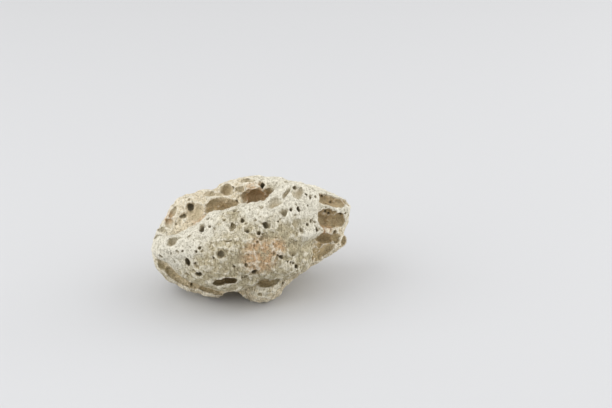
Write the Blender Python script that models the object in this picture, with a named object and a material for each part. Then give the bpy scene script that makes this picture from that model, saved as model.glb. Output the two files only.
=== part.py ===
"""Pumice stone: one solid of frothy volcanic glass, 82 mm long, resting on three worn flats.

The body is three lumpy masses, each swelling out of a closed outline, joined into one. Gas
bubbles are then cut out of it, and where two bubbles meet a thin sharp wall stays between them.
The underside is cut level where it touches the ground. Metres, +Z up, +X the long way.
"""
import math

import bmesh
import bpy
from mathutils import Matrix, Vector, noise
from mathutils.bvhtree import BVHTree

MM = 0.001

# The outlines are drawn on a plane through the middle of the stone, which leans back by FACE_LEAN
# degrees. Places on it are (across, up, out) in millimetres from FACE_CENTRE, across along +X.
FACE_LEAN = 27.0
FACE_CENTRE = Vector((0.0, 0.0, 22.6)) * MM

# The whole stone as seen square to that plane.
BODY_OUTLINE = (
    (40.6, 13.8), (39.6, 16.2), (35.0, 17.6), (30.9, 19.0), (27.0, 21.0), (21.7, 22.6), (16.8, 23.9),
    (10.3, 25.2), (2.5, 25.8), (-5.0, 25.2), (-10.6, 23.7), (-14.0, 21.2), (-22.8, 19.6),
    (-27.6, 18.6), (-31.0, 16.6), (-35.4, 11.6), (-37.8, 7.0), (-38.9, 3.4), (-40.8, -3.0),
    (-39.6, -9.5), (-36.0, -14.6), (-29.0, -18.9), (-21.0, -21.8), (-10.0, -23.4), (-2.0, -24.6),
    (4.0, -25.6), (8.6, -24.2), (12.2, -20.6), (16.6, -15.8), (24.0, -11.6), (28.8, -9.0),
    (33.0, -6.6), (38.4, -2.6), (39.2, 4.0), (40.0, 8.4),
)
# The big lobe at the front, which stands clear of the body along its upper edge.
LOBE_OUTLINE = (
    (12.1, 21.4), (9.7, 19.5), (5.6, 16.5), (1.5, 15.7), (-2.1, 14.6), (-7.3, 13.4), (-12.2, 12.7),
    (-15.2, 12.0), (-17.0, 10.9), (-19.6, 8.8), (-22.6, 6.5), (-25.6, 4.8), (-29.0, 3.0),
    (-33.0, 2.0), (-36.6, 2.4), (-39.0, 0.0), (-39.9, -4.0), (-37.4, -6.6), (-33.8, -8.2),
    (-30.3, -12.3), (-25.6, -15.9), (-22.1, -17.0), (-16.2, -19.1), (-7.4, -20.6), (-2.0, -19.4),
    (4.0, -17.0), (10.0, -17.0), (16.2, -15.2), (20.6, -13.2), (22.6, -10.7), (24.0, -6.8),
    (24.0, -3.5), (24.8, -0.9), (27.0, 1.0), (28.6, 3.0), (27.0, 5.8), (26.4, 8.3), (27.2, 13.0),
    (27.0, 17.4), (23.0, 21.0), (17.4, 22.8),
)
# The foot under the front lobe.
FOOT_OUTLINE = (
    (0.0, -11.0), (-4.0, -16.0), (-3.6, -21.0), (-1.0, -24.2), (4.0, -25.5), (8.6, -24.1),
    (12.2, -20.5), (15.5, -15.5), (10.0, -11.0),
)

# Each mass: outline, its middle (across, up, out), depth in front of and behind the middle in
# millimetres, and how full it is (1 is an ellipsoid, less is fuller).
MASSES = (
    (BODY_OUTLINE, (0.0, 0.0, 0.0), 11.0, 27.0, 0.85),
    (LOBE_OUTLINE, (-4.0, -3.0, 10.5), 16.5, 16.0, 0.80),
    (FOOT_OUTLINE, (4.5, -18.0, 0.0), 15.0, 12.0, 0.80),
)
MASS_SUBDIVISIONS = 5
# Broad waves over the front and the back of a mass, and lumps all over it: height and length.
FRONT_WAVINESS = 2.0 * MM
BACK_WAVINESS = 3.0 * MM
WAVE_LENGTH = 11.0 * MM
WAVE_SHIFT = Vector((3.1, 7.7, 1.3))
LUMP_HEIGHT = 0.7 * MM
LUMP_LENGTH = 4.6 * MM
LUMP_LAYERS = 2
# How much weaker and how much shorter each layer of lumps is than the one before.
LUMP_FALL = 0.8
LUMP_STEP = 2.1
# How far an outline is eased between its corners: 0 is straight in angle, 1 is level at each.
OUTLINE_EASE = 0.5
# Corners of an outline closer than this in angle count as this far apart, in radians.
SMALLEST_ANGLE = 1e-9
# The level block that the underside is cut by.
GROUND_WIDTH = 200.0 * MM
GROUND_DEPTH = 20.0 * MM
# Corners closer than this are one corner.
WELD = 0.01 * MM
# Rays that look for the skin start this far from the middle.
RAY_START = 200.0 * MM
TRIANGLE_TARGET = 9400
PUMICE_COLOUR = (0.62, 0.57, 0.45, 1.0)
PUMICE_ROUGHNESS = 0.95

# The large bowls: across, up and out of the middle, half width, half height, half depth along
# those axes, and the turn about the outward one in degrees. Millimetres from FACE_CENTRE.
BOWLS = (
    # along the top, behind the crest of the front lobe
    (-12.0, 13.9, 9.8, 6.8, 4.0, 6.2, 4),
    (-15.6, 12.8, 8.6, 3.2, 2.2, 3.8, 24),
    (-8.6, 14.8, 10.0, 2.6, 2.4, 4.4, -10),
    (-10.8, 20.4, 7.2, 4.0, 3.1, 4.8, 0),
    (-12.8, 19.4, 7.0, 1.9, 1.8, 3.0, 0),
    (-16.4, 19.0, 5.4, 2.4, 1.5, 2.4, 8),
    (2.6, 16.4, 9.8, 7.0, 5.0, 6.4, 6),
    (-1.6, 17.2, 9.6, 2.7, 2.5, 4.6, 10),
    (7.4, 18.2, 9.4, 3.0, 2.4, 4.2, 20),
    (-4.8, 20.4, 8.0, 1.9, 1.8, 2.4, 0),
    (-1.8, 24.1, 5.0, 3.6, 1.2, 2.6, 3),
    # the sunken shoulder and the bubbles of the left end
    (-25.0, 10.8, 10.6, 7.2, 4.8, 4.4, 38),
    (-29.4, 8.6, 9.4, 3.4, 2.4, 3.2, 50),
    (-31.8, 12.0, 6.0, 1.4, 3.0, 2.8, -24),
    (-33.6, 7.6, 7.0, 2.0, 2.3, 3.0, -10),
    (-36.4, 4.4, 5.6, 2.2, 1.6, 3.0, 30),
    (-30.6, 0.4, 21.0, 3.8, 1.8, 3.2, 42),
    # the hollow band under the front lobe
    (-36.2, -9.0, 5.6, 3.6, 2.2, 3.4, -58),
    (-33.0, -12.6, 5.8, 4.2, 2.4, 3.8, -46),
    (-28.8, -15.4, 6.0, 4.4, 2.5, 4.0, -32),
    (-24.0, -17.8, 6.0, 4.4, 2.2, 4.0, -22),
    (-18.8, -19.4, 6.2, 4.6, 2.1, 4.0, -14),
    (-12.8, -20.8, 6.6, 4.8, 1.9, 4.2, -10),
    (-7.0, -21.8, 6.4, 4.4, 1.6, 4.0, -6),
    (-12.6, -16.4, 20.0, 3.0, 1.2, 5.0, 8),
    (-9.2, -16.0, 20.0, 3.2, 1.4, 5.4, -4),
    (5.0, -17.4, 15.4, 4.2, 1.9, 4.4, 4),
    (8.4, -16.9, 15.0, 2.6, 1.5, 3.6, 14),
    (16.5, -20.5, 6.0, 6.0, 4.2, 7.0, 36),
    # the open bowls of the right end
    (32.4, 15.7, 7.6, 6.6, 3.3, 5.6, -20),
    (28.8, 16.6, 9.0, 3.0, 2.6, 4.0, -10),
    (36.4, 13.8, 5.4, 2.2, 1.7, 2.8, -36),
    (31.4, 7.6, 8.8, 5.8, 4.1, 6.2, -16),
    (35.4, 7.0, 6.6, 3.9, 3.2, 4.4, -8),
    (29.8, -0.5, 9.6, 5.2, 2.5, 5.4, -4),
    (34.0, 0.1, 7.0, 3.2, 1.8, 3.4, 6),
    (27.6, -1.2, 10.4, 3.8, 2.0, 4.8, 55),
    (30.0, -5.2, 9.0, 7.4, 3.0, 5.0, 22),
    (25.4, -6.6, 10.0, 4.0, 2.2, 4.8, 60),
    (26.8, -8.6, 8.0, 3.4, 1.8, 4.0, 26),
    (40.6, 2.4, -1.0, 3.4, 3.6, 9.0, 0),
)

# Hollows of the underside, left between the three feet: (x, y, z) and half sizes. Millimetres.
UNDERCUTS = (
    (1.0, 5.0, 0.0, 9.0, 8.0, 5.0),
    (-30.0, 0.0, 1.0, 9.0, 9.0, 6.0),
    (31.0, 12.0, 0.0, 15.0, 18.0, 11.0),
    (0.0, 23.0, 0.5, 13.0, 7.0, 5.0),
    (-9.0, -9.0, 0.5, 8.0, 7.0, 4.6),
    (14.0, -8.0, 0.5, 7.0, 7.0, 4.6),
)

# The sides that smaller bubbles are placed from: azimuth and elevation of the line of sight.
FRONT = (0.0, FACE_LEAN)
TOP = (0.0, 90.0)
BACK = (180.0, 10.0)
LEFT = (-90.0, 5.0)
RIGHT = (90.0, 5.0)

# Each bubble: side, across, up, half width, half height, half depth, turn in degrees, and how far
# its middle lies under the skin. Millimetres.
HOLLOWS = (
    # the pits of the front lobe and of the shoulders behind it
    (FRONT, 4.7, 22.1, 1.0, 1.3, 3.0, 0, 0.5),
    (FRONT, -24.4, 13.4, 1.4, 1.6, 2.0, 0, 0.3),
    (FRONT, -27.1, 9.9, 0.8, 1.5, 2.0, -60, 0.3),
    (FRONT, -19.7, 4.6, 1.2, 1.5, 2.0, 0, 0.3),
    (FRONT, -7.9, 4.7, 1.0, 2.0, 1.2, -25, 0.0),
    (FRONT, -1.8, 3.5, 0.9, 0.9, 1.6, 0, 0.2),
    (FRONT, 5.6, 5.3, 1.1, 1.4, 2.0, 0, 0.3),
    (FRONT, 12.8, 10.1, 1.4, 1.5, 1.2, 0, 0.0),
    (FRONT, 18.6, 11.4, 0.9, 1.3, 2.0, 0, 0.3),
    (FRONT, 17.9, 5.9, 2.5, 2.0, 1.2, 0, -0.3),
    (FRONT, 15.9, -4.9, 3.5, 3.5, 2.4, 0, -1.5),
    (FRONT, -12.1, -5.6, 1.8, 1.4, 1.4, 0, 0.2),
    (FRONT, -25.6, -8.5, 1.0, 1.7, 2.5, 25, 0.5),
    (FRONT, -21.2, -13.4, 1.5, 0.9, 2.5, 0, 0.5),
    (FRONT, 0.7, -12.9, 1.1, 1.1, 2.5, 0, 0.5),
    (FRONT, 11.2, -7.2, 1.2, 0.8, 1.6, -30, 0.2),
    (FRONT, 17.4, -11.0, 0.9, 0.9, 1.8, 0, 0.3),
    (FRONT, 26.0, 3.4, 1.1, 0.9, 2.0, 0, 0.4),
    (FRONT, 12.3, -18.0, 0.9, 0.9, 1.8, 0, 0.3),
    (FRONT, 34.1, -1.6, 1.0, 0.8, 1.8, 0, 0.3),
    (FRONT, 8.0, 14.2, 4.2, 2.8, 2.6, 24, -0.6),
    (FRONT, 18.6, 18.2, 2.4, 3.6, 2.4, -30, -0.2),
    (FRONT, 14.4, 18.9, 0.9, 4.2, 2.0, -38, 0.2),
    (FRONT, 36.0, 9.6, 0.8, 0.7, 1.6, 0, 0.3),
    # the top
    (TOP, -10.0, 18.0, 11.0, 5.4, 3.0, 14, -0.8),
    (TOP, 6.0, 15.4, 6.0, 4.0, 3.8, -10, 0.0),
    (TOP, 16.6, 17.5, 6.4, 6.8, 3.6, 20, -0.4),
    (TOP, 22.5, 12.0, 3.0, 2.4, 3.0, -30, 0.3),
    (TOP, -4.5, 17.5, 2.4, 2.0, 2.8, 0, 0.6),
    (TOP, -21.5, 12.5, 2.2, 3.4, 2.8, 15, 0.4),
    # the left end
    (LEFT, -6.0, 7.0, 9.0, 5.6, 4.0, -24, -0.8),
    (LEFT, -13.0, -4.5, 8.0, 6.4, 4.6, 12, -0.6),
    (LEFT, 3.5, -2.0, 4.4, 3.2, 3.4, 10, 0.0),
    (LEFT, -4.5, -7.5, 3.6, 2.4, 3.0, 0, 0.3),
    (LEFT, -14.5, 6.0, 3.0, 3.4, 3.2, 25, 0.4),
    (LEFT, -2.0, 1.5, 1.5, 1.2, 2.2, 0, 0.4),
    # the right end
    (RIGHT, 6.6, 11.4, 7.6, 4.4, 4.0, 12, -1.2),
    (RIGHT, 6.5, 1.5, 5.0, 4.4, 4.6, -12, 0.2),
    (RIGHT, -2.5, -3.5, 3.2, 2.4, 3.0, 25, 0.3),
    (RIGHT, 16.0, -3.0, 8.0, 7.4, 4.4, 0, -0.8),
    (RIGHT, 3.0, -8.5, 5.6, 2.6, 3.4, -8, 0.2),
    (RIGHT, 17.0, 8.0, 2.6, 3.2, 3.2, 0, 0.5),
    # the back
    (BACK, 7.0, 9.0, 15.0, 9.0, 6.0, 12, -2.2),
    (BACK, -17.5, 4.0, 12.0, 10.0, 5.4, -20, -1.8),
    (BACK, 20.0, -6.0, 11.0, 8.0, 5.0, 25, -1.4),
    (BACK, -2.0, -9.0, 10.0, 6.0, 4.6, -8, -1.2),
    (BACK, -12.0, 11.5, 4.6, 3.6, 5.0, 10, 0.6),
    (BACK, -20.5, 9.5, 3.4, 4.6, 4.6, -15, 0.4),
    (BACK, -14.5, 1.0, 3.4, 2.4, 4.0, 8, 0.8),
    (BACK, -25.0, -1.5, 4.2, 5.4, 4.4, 20, 0.2),
    (BACK, 2.0, 4.0, 4.8, 3.2, 5.0, 30, 0.6),
    (BACK, 9.5, 12.5, 3.0, 2.6, 3.6, 0, 0.6),
    (BACK, 14.5, 6.5, 5.4, 4.4, 5.4, -20, 0.4),
    (BACK, 24.5, 5.5, 3.6, 5.0, 4.2, 15, 0.2),
    (BACK, 13.5, -4.5, 3.0, 2.2, 3.4, 20, 0.6),
    (BACK, 22.0, -9.5, 4.4, 3.0, 4.4, -25, 0.2),
    (BACK, -7.0, -10.5, 4.0, 2.8, 4.0, -10, 0.4),
    (BACK, 5.5, -13.0, 2.4, 1.8, 2.8, 0, 0.6),
    (BACK, -1.0, -2.5, 1.8, 1.6, 2.8, 0, 0.6),
    (BACK, -29.0, 8.0, 1.8, 2.4, 2.8, 0, 0.5),
)
# How far each bubble is pushed out of round, as a share of its size, by two noises: a broad one
# and a finer one, each with so many waves to the bubble's radius.
BUBBLE_UNEVEN = 0.30
UNEVEN_BROAD = 1.1
UNEVEN_FINE = 3.0
UNEVEN_FINE_SHARE = 0.35
# Bubbles at least this wide get this many subdivisions, so that all keep the same fineness.
BUBBLE_SUBDIVISIONS = ((5.0, 4), (1.5, 3), (0.0, 2))


def face_axes(azimuth, elevation):
    """Across, up and outward unit vectors of a side seen from an azimuth and elevation."""
    turn = math.radians(azimuth)
    lift = math.radians(elevation)
    outward = Vector((math.sin(turn) * math.cos(lift), -math.cos(turn) * math.cos(lift), math.sin(lift)))
    across = Vector((math.cos(turn), math.sin(turn), 0.0))
    return across, outward.cross(across), outward


def polar_outline(outline, middle):
    """The outline's points as (angle, reach) about the middle, in order of angle."""
    points = [(across - middle[0], up - middle[1]) for across, up in outline]
    return sorted((math.atan2(up, across), math.hypot(across, up)) for across, up in points)


def outline_reach(polar, angle):
    """Distance from the middle to the outline at an angle, eased from point to point."""
    tau = 2 * math.pi
    for number, (end_angle, end_reach) in enumerate(polar):
        if angle <= end_angle:
            break
    else:
        number, (end_angle, end_reach) = 0, (polar[0][0] + tau, polar[0][1])
    start_angle, start_reach = polar[number - 1]
    if start_angle > end_angle:
        start_angle -= tau
    part = (angle - start_angle) / max(end_angle - start_angle, SMALLEST_ANGLE)
    part = part + OUTLINE_EASE * (part * part * (3 - 2 * part) - part)
    return start_reach + (end_reach - start_reach) * part


def mass_point(direction, polar, middle, front, back, fullness):
    """Where a unit direction (across, up, out) meets the skin of a mass."""
    across, up, outward = face_axes(*FRONT)
    flat = math.hypot(direction.x, direction.y)
    angle = math.atan2(direction.y, direction.x)
    reach = outline_reach(polar, angle) * flat
    depth = (front if direction.z > 0 else back) * math.copysign(abs(direction.z) ** fullness, direction.z)
    place = Vector(middle) + Vector((math.cos(angle) * reach, math.sin(angle) * reach, depth))
    place *= MM
    point = across * place.x + up * place.y + outward * place.z
    height = FRONT_WAVINESS if direction.z > 0 else BACK_WAVINESS
    wave = noise.noise(point / WAVE_LENGTH + WAVE_SHIFT) * height * abs(direction.z)
    lump = noise.fractal(point / LUMP_LENGTH, LUMP_FALL, LUMP_STEP, LUMP_LAYERS) * LUMP_HEIGHT
    return FACE_CENTRE + point + point.normalized() * (wave + lump)


def add_object(name, mesh_builder, material=None):
    """Adds a mesh object built by mesh_builder(bmesh)."""
    mesh = bpy.data.meshes.new(name)
    bm = bmesh.new()
    mesh_builder(bm)
    bm.to_mesh(mesh)
    bm.free()
    if material:
        mesh.materials.append(material)
    thing = bpy.data.objects.new(name, mesh)
    bpy.context.scene.collection.objects.link(thing)
    return thing


def mass_builder(outline, middle, front, back, fullness):
    """A function that fills a bmesh with one mass."""
    polar = polar_outline(outline, middle)

    def build(bm):
        bmesh.ops.create_icosphere(bm, subdivisions=MASS_SUBDIVISIONS, radius=1.0)
        for vert in bm.verts:
            vert.co = mass_point(vert.co.normalized(), polar, middle, front, back, fullness)
        bmesh.ops.recalc_face_normals(bm, faces=bm.faces)
    return build


def bowl_matrix(across_mm, up_mm, out_mm, half_width, half_height, half_depth, turn):
    """Places a bowl by its middle, in the outline plane's own axes."""
    frame = Matrix(face_axes(*FRONT)).transposed().to_4x4()
    middle = Matrix.Translation(Vector((across_mm, up_mm, out_mm)) * MM)
    size = Matrix.Diagonal((half_width * MM, half_height * MM, half_depth * MM, 1.0))
    spin = Matrix.Rotation(math.radians(turn), 4, "Z")
    return Matrix.Translation(FACE_CENTRE) @ frame @ middle @ spin @ size


def undercut_matrix(x_mm, y_mm, z_mm, half_x, half_y, half_z):
    """Places a hollow of the underside, in world axes."""
    size = Matrix.Diagonal((half_x * MM, half_y * MM, half_z * MM, 1.0))
    return Matrix.Translation(Vector((x_mm, y_mm, z_mm)) * MM) @ size


def bubble_matrix(skin, side, across_mm, up_mm, half_width, half_height, half_depth, turn, sink):
    """Places a bubble where the line of sight of a side meets the skin."""
    across, up, outward = face_axes(*side)
    start = FACE_CENTRE + across * across_mm * MM + up * up_mm * MM + outward * RAY_START
    hit, normal, _, _ = skin.ray_cast(start, -outward)
    if hit is None:
        raise RuntimeError("a bubble misses the stone: %s %.1f %.1f" % (side, across_mm, up_mm))
    along = across.copy()
    along.rotate(Matrix.Rotation(math.radians(turn), 3, outward))
    along = (along - normal * along.dot(normal)).normalized()
    frame = Matrix((along, normal.cross(along), normal)).transposed().to_4x4()
    size = Matrix.Diagonal((half_width * MM, half_height * MM, half_depth * MM, 1.0))
    return Matrix.Translation(hit - normal * sink * MM) @ frame @ size


def bubble_subdivisions(radius):
    """Subdivisions for a bubble of a radius in millimetres."""
    return next(count for limit, count in BUBBLE_SUBDIVISIONS if radius >= limit)


def uneven_point(corner, matrix):
    """Where a corner of a ball of radius one goes in a bubble that is not quite round."""
    middle = matrix.translation / MM
    push = noise.noise(corner * UNEVEN_BROAD + middle)
    push += noise.noise(corner * UNEVEN_FINE + middle) * UNEVEN_FINE_SHARE
    return matrix @ (corner * (1.0 + push * BUBBLE_UNEVEN))


def cut_bubbles(stone, skin):
    """Cuts every bubble out of the stone."""
    cutters = bpy.data.collections.new("bubbles")
    bpy.context.scene.collection.children.link(cutters)
    placed = [(bowl_matrix(*bowl), max(bowl[3:5])) for bowl in BOWLS]
    placed += [(undercut_matrix(*hollow), max(hollow[3:5])) for hollow in UNDERCUTS]
    placed += [(bubble_matrix(skin, *hollow), max(hollow[3:5])) for hollow in HOLLOWS]
    for number, (matrix, radius) in enumerate(placed):

        def build_bubble(bm, matrix=matrix, radius=radius):
            bmesh.ops.create_icosphere(bm, subdivisions=bubble_subdivisions(radius), radius=1.0)
            for vert in bm.verts:
                vert.co = uneven_point(vert.co, matrix)
            bmesh.ops.recalc_face_normals(bm, faces=bm.faces)

        bubble = add_object("bubble_%02d" % number, build_bubble)
        bpy.context.scene.collection.objects.unlink(bubble)
        cutters.objects.link(bubble)
        bubble.hide_render = True
        bubble.display_type = "WIRE"
    cut = stone.modifiers.new("bubbles", "BOOLEAN")
    cut.operation = "DIFFERENCE"
    cut.operand_type = "COLLECTION"
    cut.collection = cutters
    cut.solver = "EXACT"


def build_ground(bm):
    """A block whose top face is the ground."""
    size = Matrix.Diagonal((GROUND_WIDTH, GROUND_WIDTH, GROUND_DEPTH, 1.0))
    bmesh.ops.create_cube(bm, size=1.0, matrix=Matrix.Translation((0.0, 0.0, -GROUND_DEPTH / 2)) @ size)


def keep_largest_piece(bm):
    """Deletes every loose chip, leaving the largest connected piece."""
    unseen = set(bm.verts)
    pieces = []
    while unseen:
        front = [unseen.pop()]
        piece = list(front)
        while front:
            found = []
            for vert in front:
                for edge in vert.link_edges:
                    other = edge.other_vert(vert)
                    if other in unseen:
                        unseen.discard(other)
                        found.append(other)
            piece += found
            front = found
        pieces.append(piece)
    pieces.sort(key=len)
    for piece in pieces[:-1]:
        bmesh.ops.delete(bm, geom=piece, context="VERTS")


def settle(stone):
    """Replaces the stone's mesh by what its modifiers make of it, in one piece."""
    bpy.context.view_layer.update()
    bm = bmesh.new()
    bm.from_object(stone, bpy.context.evaluated_depsgraph_get())
    bmesh.ops.triangulate(bm, faces=bm.faces)
    bmesh.ops.remove_doubles(bm, verts=bm.verts, dist=WELD)
    bmesh.ops.dissolve_degenerate(bm, dist=WELD, edges=bm.edges)
    keep_largest_piece(bm)
    bmesh.ops.triangulate(bm, faces=bm.faces)
    stone.modifiers.clear()
    bm.to_mesh(stone.data)
    bm.free()


def main():
    for old in list(bpy.data.objects):
        bpy.data.objects.remove(old)
    pumice = bpy.data.materials.new("pumice")
    pumice.use_nodes = True
    shader = pumice.node_tree.nodes["Principled BSDF"]
    shader.inputs["Base Color"].default_value = PUMICE_COLOUR
    shader.inputs["Roughness"].default_value = PUMICE_ROUGHNESS

    stone = add_object("pumice_stone", mass_builder(*MASSES[0]), pumice)
    for number, mass in enumerate(MASSES[1:]):
        other = add_object("mass_%d" % number, mass_builder(*mass))
        other.hide_render = True
        other.display_type = "WIRE"
        join = stone.modifiers.new("mass_%d" % number, "BOOLEAN")
        join.operation = "UNION"
        join.object = other
        join.solver = "EXACT"
    bpy.context.view_layer.update()
    skin = BVHTree.FromObject(stone, bpy.context.evaluated_depsgraph_get())
    cut_bubbles(stone, skin)
    settle(stone)

    thin = stone.modifiers.new("thin", "DECIMATE")
    thin.ratio = TRIANGLE_TARGET / len(stone.data.polygons)
    ground = add_object("ground", build_ground)
    ground.hide_render = True
    ground.display_type = "WIRE"
    level = stone.modifiers.new("level", "BOOLEAN")
    level.operation = "DIFFERENCE"
    level.object = ground
    level.solver = "EXACT"


main()
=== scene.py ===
"""Pumice stone on a pale studio floor.

The stone is grown again, finer, from the same named sizes as its solid: three rounded masses
joined into one, gas bubbles of every size cut out of them, then a crumbly skin. Run as a script,
it registers its operators and calls them in order. Lengths are metres; MM turns millimetres to
metres. +X is the stone's long way, -Y its lobed front, +Z up.
"""
import itertools
import math
import random

import bmesh
import bpy
import numpy as np
from mathutils import Matrix, Vector, noise
from mathutils.bvhtree import BVHTree


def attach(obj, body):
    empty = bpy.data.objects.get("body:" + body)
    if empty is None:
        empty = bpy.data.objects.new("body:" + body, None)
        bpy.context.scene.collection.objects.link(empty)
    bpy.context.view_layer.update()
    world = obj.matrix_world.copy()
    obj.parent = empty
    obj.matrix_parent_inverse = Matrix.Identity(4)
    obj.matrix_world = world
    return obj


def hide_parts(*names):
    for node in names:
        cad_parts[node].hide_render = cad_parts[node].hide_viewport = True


bl_info = {
    "name": "Pumice Stone",
    "version": (1, 0, 0),
    "blender": (4, 5, 0),
    "location": "3D View > Sidebar > Pumice",
    "description": "Grows a pumice stone and sets it on a studio floor",
    "category": "Add Mesh",
}

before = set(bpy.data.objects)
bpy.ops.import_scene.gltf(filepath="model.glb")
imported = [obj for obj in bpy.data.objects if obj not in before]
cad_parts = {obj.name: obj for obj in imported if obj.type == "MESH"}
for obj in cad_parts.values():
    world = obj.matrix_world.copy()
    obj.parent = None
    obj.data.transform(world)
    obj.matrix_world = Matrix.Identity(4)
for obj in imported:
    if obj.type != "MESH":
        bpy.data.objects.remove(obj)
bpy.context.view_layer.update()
MM = 0.001

# ---- Form ----
# Shared with the solid. Places on the outlines' plane are (across, up, out) in millimetres from
# FACE_CENTRE; the plane leans back by FACE_LEAN degrees and across runs along +X.
FACE_LEAN = 27.0
FACE_CENTRE = Vector((0.0, 0.0, 22.6)) * MM
# The whole stone as seen square to that plane.
BODY_OUTLINE = (
    (40.6, 13.8), (39.6, 16.2), (35.0, 17.6), (30.9, 19.0), (27.0, 21.0), (21.7, 22.6), (16.8, 23.9),
    (10.3, 25.2), (2.5, 25.8), (-5.0, 25.2), (-10.6, 23.7), (-14.0, 21.2), (-22.8, 19.6),
    (-27.6, 18.6), (-31.0, 16.6), (-35.4, 11.6), (-37.8, 7.0), (-38.9, 3.4), (-40.8, -3.0),
    (-39.6, -9.5), (-36.0, -14.6), (-29.0, -18.9), (-21.0, -21.8), (-10.0, -23.4), (-2.0, -24.6),
    (4.0, -25.6), (8.6, -24.2), (12.2, -20.6), (16.6, -15.8), (24.0, -11.6), (28.8, -9.0),
    (33.0, -6.6), (38.4, -2.6), (39.2, 4.0), (40.0, 8.4),
)
# The big lobe at the front, which stands clear of the body along its upper edge.
LOBE_OUTLINE = (
    (12.1, 21.4), (9.7, 19.5), (5.6, 16.5), (1.5, 15.7), (-2.1, 14.6), (-7.3, 13.4), (-12.2, 12.7),
    (-15.2, 12.0), (-17.0, 10.9), (-19.6, 8.8), (-22.6, 6.5), (-25.6, 4.8), (-29.0, 3.0),
    (-33.0, 2.0), (-36.6, 2.4), (-39.0, 0.0), (-39.9, -4.0), (-37.4, -6.6), (-33.8, -8.2),
    (-30.3, -12.3), (-25.6, -15.9), (-22.1, -17.0), (-16.2, -19.1), (-7.4, -20.6), (-2.0, -19.4),
    (4.0, -17.0), (10.0, -17.0), (16.2, -15.2), (20.6, -13.2), (22.6, -10.7), (24.0, -6.8),
    (24.0, -3.5), (24.8, -0.9), (27.0, 1.0), (28.6, 3.0), (27.0, 5.8), (26.4, 8.3), (27.2, 13.0),
    (27.0, 17.4), (23.0, 21.0), (17.4, 22.8),
)
# The foot under the front lobe.
FOOT_OUTLINE = (
    (0.0, -11.0), (-4.0, -16.0), (-3.6, -21.0), (-1.0, -24.2), (4.0, -25.5), (8.6, -24.1),
    (12.2, -20.5), (15.5, -15.5), (10.0, -11.0),
)

# Each mass: outline, its middle (across, up, out), depth in front of and behind the middle in
# millimetres, and how full it is (1 is an ellipsoid, less is fuller).
MASSES = (
    (BODY_OUTLINE, (0.0, 0.0, 0.0), 11.0, 27.0, 0.85),
    (LOBE_OUTLINE, (-4.0, -3.0, 10.5), 16.5, 16.0, 0.80),
    (FOOT_OUTLINE, (4.5, -18.0, 0.0), 15.0, 12.0, 0.80),
)

# The large bowls: across, up and out of the middle, half width, half height, half depth along
# those axes, and the turn about the outward one in degrees. Millimetres from FACE_CENTRE.
BOWLS = (
    # along the top, behind the crest of the front lobe
    (-12.0, 13.9, 9.8, 6.8, 4.0, 6.2, 4),
    (-15.6, 12.8, 8.6, 3.2, 2.2, 3.8, 24),
    (-8.6, 14.8, 10.0, 2.6, 2.4, 4.4, -10),
    (-10.8, 20.4, 7.2, 4.0, 3.1, 4.8, 0),
    (-12.8, 19.4, 7.0, 1.9, 1.8, 3.0, 0),
    (-16.4, 19.0, 5.4, 2.4, 1.5, 2.4, 8),
    (2.6, 16.4, 9.8, 7.0, 5.0, 6.4, 6),
    (-1.6, 17.2, 9.6, 2.7, 2.5, 4.6, 10),
    (7.4, 18.2, 9.4, 3.0, 2.4, 4.2, 20),
    (-4.8, 20.4, 8.0, 1.9, 1.8, 2.4, 0),
    (-1.8, 24.1, 5.0, 3.6, 1.2, 2.6, 3),
    # the sunken shoulder and the bubbles of the left end
    (-25.0, 10.8, 10.6, 7.2, 4.8, 4.4, 38),
    (-29.4, 8.6, 9.4, 3.4, 2.4, 3.2, 50),
    (-31.8, 12.0, 6.0, 1.4, 3.0, 2.8, -24),
    (-33.6, 7.6, 7.0, 2.0, 2.3, 3.0, -10),
    (-36.4, 4.4, 5.6, 2.2, 1.6, 3.0, 30),
    (-30.6, 0.4, 21.0, 3.8, 1.8, 3.2, 42),
    # the hollow band under the front lobe
    (-36.2, -9.0, 5.6, 3.6, 2.2, 3.4, -58),
    (-33.0, -12.6, 5.8, 4.2, 2.4, 3.8, -46),
    (-28.8, -15.4, 6.0, 4.4, 2.5, 4.0, -32),
    (-24.0, -17.8, 6.0, 4.4, 2.2, 4.0, -22),
    (-18.8, -19.4, 6.2, 4.6, 2.1, 4.0, -14),
    (-12.8, -20.8, 6.6, 4.8, 1.9, 4.2, -10),
    (-7.0, -21.8, 6.4, 4.4, 1.6, 4.0, -6),
    (-12.6, -16.4, 20.0, 3.0, 1.2, 5.0, 8),
    (-9.2, -16.0, 20.0, 3.2, 1.4, 5.4, -4),
    (5.0, -17.4, 15.4, 4.2, 1.9, 4.4, 4),
    (8.4, -16.9, 15.0, 2.6, 1.5, 3.6, 14),
    (16.5, -20.5, 6.0, 6.0, 4.2, 7.0, 36),
    # the open bowls of the right end
    (32.4, 15.7, 7.6, 6.6, 3.3, 5.6, -20),
    (28.8, 16.6, 9.0, 3.0, 2.6, 4.0, -10),
    (36.4, 13.8, 5.4, 2.2, 1.7, 2.8, -36),
    (31.4, 7.6, 8.8, 5.8, 4.1, 6.2, -16),
    (35.4, 7.0, 6.6, 3.9, 3.2, 4.4, -8),
    (29.8, -0.5, 9.6, 5.2, 2.5, 5.4, -4),
    (34.0, 0.1, 7.0, 3.2, 1.8, 3.4, 6),
    (27.6, -1.2, 10.4, 3.8, 2.0, 4.8, 55),
    (30.0, -5.2, 9.0, 7.4, 3.0, 5.0, 22),
    (25.4, -6.6, 10.0, 4.0, 2.2, 4.8, 60),
    (26.8, -8.6, 8.0, 3.4, 1.8, 4.0, 26),
    (40.6, 2.4, -1.0, 3.4, 3.6, 9.0, 0),
)

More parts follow.
